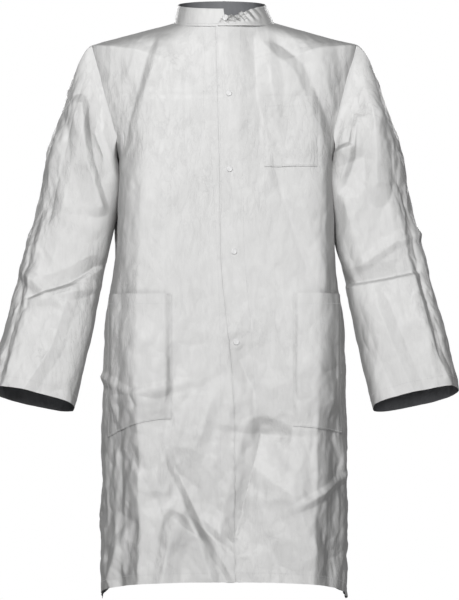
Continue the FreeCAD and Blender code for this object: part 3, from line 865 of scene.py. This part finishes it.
def make_collar(name, first_angle, last_angle, crush=0.0, slant=0.0, stand=0.0):
    """One part of the collar, with its front end standing off the part below it where stand is given."""
    sheet, angle, share = collar_sheet(first_angle, last_angle, crush, slant)
    relief = 0.0006 + 0.05 * crumple(sheet.points, seed=31, sizes=(0.03, 0.014))
    near = crush * smoothstep(1.15, 0.5, np.abs(angle)) * smoothstep(0.05, 0.5, share)
    near *= smoothstep(0.0, 0.15, angle - first_angle)
    pleats = angle * 6.5 + 1.3 * share + 0.35 * lattice(sheet.points * 45, 3)
    relief += near * 0.0030 * (wave(pleats) + 0.4 * wave(pleats * 2.3))
    sheet.lift(relief + stand * smoothstep(1.0, 0.4, angle))
    seams = [edge_seam(sheet, "high", 0.002), edge_seam(sheet, "low", 0.0045)]
    return cloth_piece(name, sheet, CLOTH, seams, thickness=COLLAR_THICK), sheet


def angle_of(x):
    """Angle on the collar where it passes x, near the front."""
    return math.asin(x / NECK[0])


collar_left, collar_left_sheet = make_collar("collar_left", angle_of(-0.012), math.pi / 2,
                                             crush=1.0, slant=0.17, stand=OVERLAP + 0.0008)
collar_right, _ = make_collar("collar_right", angle_of(0.004), -math.pi / 2)
collar_back, _ = make_collar("collar_back_band", math.pi / 2, 1.5 * math.pi)

# ---------- pockets


POCKET_SEAM = 0.0025    # distance of a pocket's seams from its sewn edges
POCKET_HEM = 0.018      # depth of the hem at its opening
POCKET_STAND = 0.0012   # how far its edges stand off the coat


def patch(name, sheet, x_in, x_out, low, top, sag, seed, droop=0.0):
    """A patch pocket laid over a body sheet between two x values and two heights.

    Sag is how far its middle stands off the coat, and droop is how much lower its outer corner hangs.
    """
    side = 1 if x_out > 0 else -1
    rows = int((top - low) / SPACING * 1.3)
    columns = int(abs(x_out - x_in) / SPACING * 1.5)
    xs = np.linspace(x_in, x_out, columns)
    drop = droop * np.linspace(0, 1, columns) ** 2
    zs = np.linspace(0, 1, rows)[:, None] * (top - low + drop) + low - drop
    body = sheet.points
    points = np.empty((rows, columns, 3))
    normals = np.empty((rows, columns, 3))
    for i in range(rows):
        row = np.interp(zs[i], body[:, body.shape[1] // 2, 2], np.arange(len(body)))
        line = side * body[int(row.mean()), :, 0]
        order = np.argsort(line)
        column = np.interp(side * xs, line[order], np.arange(body.shape[1])[order])
        points[i], normals[i] = sheet.at(row, column)
    share_x = np.abs(np.linspace(-1, 1, columns))[None, :]
    share_z = np.linspace(0, 1, rows)[:, None]
    stand = POCKET_STAND + sag * smoothstep(0.0, 0.25, 1 - share_x) * smoothstep(0.0, 0.3, share_z)
    patch_sheet = Sheet(points, away_from_axis)
    patch_sheet.points = points + normals * stand[..., None]
    patch_sheet.normals = patch_sheet.find_normals()
    crush = 0.05 * crumple(patch_sheet.points, seed=seed, sizes=(0.035, 0.014))
    patch_sheet.lift(np.maximum(crush, 0) * smoothstep(0, 0.1, 1 - share_x))
    seams = [edge_seam(patch_sheet, edge, POCKET_SEAM) for edge in ("first", "last", "low")]
    seams.append(edge_seam(patch_sheet, "high", POCKET_HEM))
    return cloth_piece(name, patch_sheet, CLOTH, seams)


chest_pocket = patch("chest_pocket_cloth", left_sheet, 0.070, 0.163, 0.767, 0.890, 0.0012, 41)
left_pocket = patch("left_pocket_cloth", left_sheet, 0.120, 0.205, 0.316, 0.545, 0.005, 42, 0.012)
right_pocket = patch("right_pocket_cloth", right_sheet, -0.090, -0.203, 0.330, 0.545, 0.006, 43, 0.032)

# ---------- snaps and neck fittings


def lathe(name, profile, places, material, segments=28):
    """Turned parts: profile of (radius, height) points, one copy at each (centre, outward direction)."""
    vertices, faces = [], []
    for centre, out in places:
        out = out / np.linalg.norm(out)
        a = np.cross(out, [0, 0, 1.0])
        a /= np.linalg.norm(a)
        b = np.cross(out, a)
        base = len(vertices)
        for radius, height in profile:
            for k in range(segments):
                turn = 2 * math.pi * k / segments
                vertices.append(centre + out * height + radius * (a * math.cos(turn) + b * math.sin(turn)))
        for ring in range(len(profile) - 1):
            for k in range(segments):
                n = (k + 1) % segments
                i = base + ring * segments
                faces.append([i + k, i + n, i + n + segments, i + k + segments])
        for ring in (0, len(profile) - 1):
            vertices.append(centre + out * profile[ring][1])
            hub = len(vertices) - 1
            for k in range(0, segments, 2):
                i = base + ring * segments
                faces.append([hub, i + k, i + k + 1, i + (k + 2) % segments])
    return new_object(name, np.array(vertices), np.array(faces), np.zeros(len(faces)), [material])


# turned outlines: (radius, height above the cloth); each ends in a flat centre
CAP = [(0.0006, -0.0002), (0.0049, -0.0002), (0.0053, 0.0003), (0.0053, 0.0008), (0.0049, 0.0014),
       (0.0040, 0.0018), (0.0034, 0.0015), (0.0026, 0.0014), (0.0014, 0.0016), (0.0004, 0.0017)]
SOCKET = [(0.0024, 0.0), (0.0024, 0.0018), (0.0030, 0.0022), (0.0044, 0.0022), (0.0050, 0.0016),
          (0.0052, 0.0)]
STUD = [(0.0051, 0.0), (0.0051, 0.0005), (0.0046, 0.0009), (0.0023, 0.0010), (0.0017, 0.0014),
        (0.0017, 0.0018), (0.0020, 0.0022), (0.0017, 0.0026), (0.0005, 0.0027)]
POST = [(0.0052, 0.0), (0.0052, 0.0005), (0.0046, 0.0009), (0.0012, 0.0010), (0.0004, 0.0008)]
COLLAR_SNAP = (0.0020, 1.031)    # place on the front (x, z)
SNAP_GAP = 0.0001       # space between a fitting and the cloth


def on_sheet(sheet, x, z):
    """Point and smoothed normal of a sheet near a place on the front."""
    distance = front_distance(sheet.points, x, z)
    near = distance < max(0.006, distance.min() + 1e-6)
    normal = sheet.normals[near].mean(0)
    return sheet.points[near].mean(0), normal / np.linalg.norm(normal)


def snap_row(name, outline, drop, turn, collar_drop):
    """One fitting of each snap: drop is its distance behind the left front, turn -1 points it inwards."""
    places = [(left_sheet, x, z, drop) for x, z in SNAPS]
    places.append((collar_left_sheet, *COLLAR_SNAP, collar_drop))
    spots = []
    for sheet, x, z, depth in places:
        point, normal = on_sheet(sheet, x, z)
        spots.append((point - normal * depth, normal * turn))
    return lathe(name, outline, spots, SNAP)


RIGHT_FACE = OVERLAP + 0.0002    # the right front's distance behind the left one's face
caps = snap_row("snap_caps_moulded", CAP, -SNAP_GAP, 1, -SNAP_GAP)
sockets = snap_row("snap_sockets_moulded", SOCKET, THICK + SNAP_GAP, -1, COLLAR_THICK + SNAP_GAP)
studs = snap_row("snap_studs_moulded", STUD, RIGHT_FACE - SNAP_GAP, 1, RIGHT_FACE + 0.0010)
posts = snap_row("snap_posts_moulded", POST, RIGHT_FACE + THICK + SNAP_GAP, -1, RIGHT_FACE + 0.0026)


FACING_INSET = 0.0006   # how far behind the front's edge a facing starts


def facing(name, sheet):
    """The strip of cloth folded back behind a front edge, its white side to the wearer."""
    rows = sheet.points.shape[0]
    columns = int(FACING / SPACING) + 2
    points = np.empty((rows, columns, 3))
    normals = np.empty((rows, columns, 3))
    for k, inset in enumerate(np.linspace(FACING_INSET, FACING, columns)):
        points[:, k], normals[:, k] = edge_seam(sheet, "first", inset)
    strip = Sheet(points)
    strip.points = points - normals * FACING_DROP
    strip.normals = -normals
    return cloth_piece(name, strip, WHITE_BOTH_SIDES, [edge_seam(strip, "last", 0.002)])


left_facing = facing("left_facing_cloth", left_sheet)
right_facing = facing("right_facing_cloth", right_sheet)


def hanger_band():
    """A narrow folded band bent to a loop behind the collar."""
    radius, low, high, width = 0.0100, 1.0405, 1.0720, 0.0055
    back, crown, twist = 0.0678, 0.0006, 0.0008
    turn = np.linspace(0, math.pi, 24)
    bend = np.stack([-radius * np.cos(turn), high - radius + radius * np.sin(turn)], -1)
    leg = np.linspace(low, high - radius, 12)[:-1]
    path = np.concatenate([np.stack([-radius + 0 * leg, leg], -1), bend,
                           np.stack([radius + 0 * leg, leg[::-1]], -1)])
    along_path = np.gradient(path, axis=0)
    across = np.stack([along_path[:, 1], -along_path[:, 0]], -1)
    across /= np.linalg.norm(across, axis=1, keepdims=True)
    offset = np.linspace(-width / 2, width / 2, 7)
    flat = path[:, None] + across[:, None] * offset[None, :, None]
    depth = back + crown * np.cos(offset / width * math.pi)[None] + twist * np.sin(path[:, :1] * 260)
    points = np.stack([flat[..., 0], depth + 0 * flat[..., 0], flat[..., 1]], -1)
    sheet = Sheet(points, lambda p: np.array([0, 1.0, 0]) + 0 * p)
    seams = [edge_seam(sheet, "first", 0.0008), edge_seam(sheet, "last", 0.0008)]
    return cloth_piece("hanger_loop_band", sheet, WHITE_BOTH_SIDES, seams, thickness=0.0009)


def label_patch():
    """A blank woven label sewn inside the back of the neck."""
    half, low, high = 0.0225, 0.9965, 1.0262
    back, crown, curl = 0.0495, 0.0006, 0.0012
    across, up = np.meshgrid(np.linspace(-half, half, 30), np.linspace(low, high, 20))
    depth = back + crown * np.cos(across * 70) + curl * (NECK[3] - up) / 0.03 * np.sin(across * 110)
    sheet = Sheet(np.stack([across, depth, up], -1), lambda p: np.array([0, -1.0, 0]) + 0 * p)
    seams = [edge_seam(sheet, side, 0.0015) for side in ("first", "last", "low", "high")]
    return cloth_piece("neck_label_cloth", sheet, WHITE_BOTH_SIDES, seams)


loop_band = hanger_band()
label = label_patch()

# ---------- riding on the bodies

REPLACED = (
    (back_cloth, "back_panel"),
    (left_front, "left_front_side", "left_front_flap"),
    (right_front, "right_front_side", "right_front_flap"),
    (left_facing, "left_facing"),
    (right_facing, "right_facing"),
    (collar_left, "collar_left_front"),
    (collar_back, "collar_back"),
    (collar_right, "collar_right_front"),
    (chest_pocket, "chest_pocket"),
    (left_pocket, "left_pocket"),
    (right_pocket, "right_pocket"),
    (caps, "snap_caps"),
    (sockets, "snap_sockets"),
    (studs, "snap_studs"),
    (posts, "snap_posts"),
    (loop_band, "hanger_loop"),
    (label, "neck_label"),
    (left_sleeve[0], "left_sleeve_upper"),
    (left_sleeve[1], "left_sleeve_lower"),
    (right_sleeve[0], "right_sleeve_upper"),
    (right_sleeve[1], "right_sleeve_lower"),
)
for piece, *nodes in REPLACED:
    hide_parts(*nodes)
for piece in (back_cloth, collar_back, chest_pocket, left_pocket, right_pocket, label):
    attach(piece, "torso")
for piece in (caps, sockets):
    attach(piece, "left_front")
for piece in (studs, posts):
    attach(piece, "right_front")
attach(loop_band, "hanger_loop")

# each front's fold line at hip height, the direction across it, pointing away from the centre, and where
# along that direction the cloth starts to turn and has turned fully
LEFT_FOLD = ((0.0764, 0.0, 0.5), (0.9991, 0.0, 0.0413), 0.005, -0.028)
RIGHT_FOLD = ((-0.0499, 0.0, 0.5), (-0.9998, 0.0, 0.0202), 0.012, -0.026)


def blend_over_fold(piece, body, fold, across, low, high):
    """Bakes a piece's placement into its mesh."""
    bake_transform(piece)


def blend_sleeve(piece):
    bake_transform(piece)


for piece in (left_front, left_facing, collar_left):
    blend_over_fold(piece, "left_front", *LEFT_FOLD)
for piece in (right_front, right_facing, collar_right):
    blend_over_fold(piece, "right_front", *RIGHT_FOLD)
for side, (upper, lower), name in ((1, left_sleeve, "left"), (-1, right_sleeve, "right")):
    blend_sleeve(upper)
    blend_sleeve(lower)

# ---------- studio


WHITE_LIGHT = {"Color": (1, 1, 1, 1), "Strength": 1.0}


def white_to_camera(surface, kind):
    """White where the camera looks straight at a surface that still lights the coat as itself."""
    tree = surface.id_data
    white = add_node(tree, kind, kind, WHITE_LIGHT)
    looks = add_node(tree, "LightPath", "Is Camera Ray")
    return add_node(tree, "MixShader", "Shader", {"Fac": looks, 1: surface, 2: white})


def make_floor():
    size, drop = 30.0, -0.9
    corners = [(-size, -size, drop), (size, -size, drop), (size, size, drop), (-size, size, drop)]
    mesh = bpy.data.meshes.new("floor")
    mesh.from_pydata(corners, [], [(0, 1, 2, 3)])
    material, tree, shader = node_material("floor_paint")
    feed(shader, {"Base Color": (0.6, 0.6, 0.6, 1), "Roughness": 0.9})
    feed(tree.nodes["Material Output"], {"Surface": white_to_camera(shader.outputs["BSDF"], "Emission")})
    mesh.materials.append(material)
    add_object("floor", mesh)


def make_surroundings():
    """Faint even light from all round."""
    world = bpy.data.worlds.new("studio")
    bpy.context.scene.world = world
    world.use_nodes = True
    nodes = world.node_tree.nodes
    feed(nodes["Background"], {"Color": (1, 1, 1, 1), "Strength": 0.14})
    background = nodes["Background"].outputs["Background"]
    feed(nodes["World Output"], {"Surface": white_to_camera(background, "Background")})


def area_light(name, place, target, width, power):
    light = bpy.data.lights.new(name, "AREA")
    light.size = width
    light.energy = power
    lamp = add_object(name, light)
    lamp.location = place
    direction = Vector([t - p for t, p in zip(target, place)])
    lamp.rotation_euler = direction.to_track_quat("-Z", "Y").to_euler()


def make_lights():
    """A key from the upper left, a weaker fill from the right, and two that light the back."""
    area_light("key", (-0.8, -2.8, 2.5), (0, 0, 0.75), 0.5, 60)
    area_light("fill", (0.9, -3.3, 1.2), (0, 0, 0.5), 0.8, 21)
    for name, side in (("back_left", 1), ("back_right", -1)):
        area_light(name, (side * 1.5, 2.8, 1.8), (0, 0, 0.6), 1.0, 30)


def make_camera():
    """Straight from the front, framed as the photograph is."""
    distance, seen_height = 4.2, 1.068
    data = bpy.data.cameras.new("camera")
    data.sensor_width = 36
    data.lens = data.sensor_width * distance / seen_height
    camera = add_object("camera", data)
    camera.location = (0.0098, -distance, seen_height / 2)
    camera.rotation_euler = (math.radians(90), 0, 0)
    bpy.context.scene.camera = camera
    bpy.context.scene.view_settings.view_transform = "Standard"


make_floor()
make_surroundings()
make_lights()
make_camera()
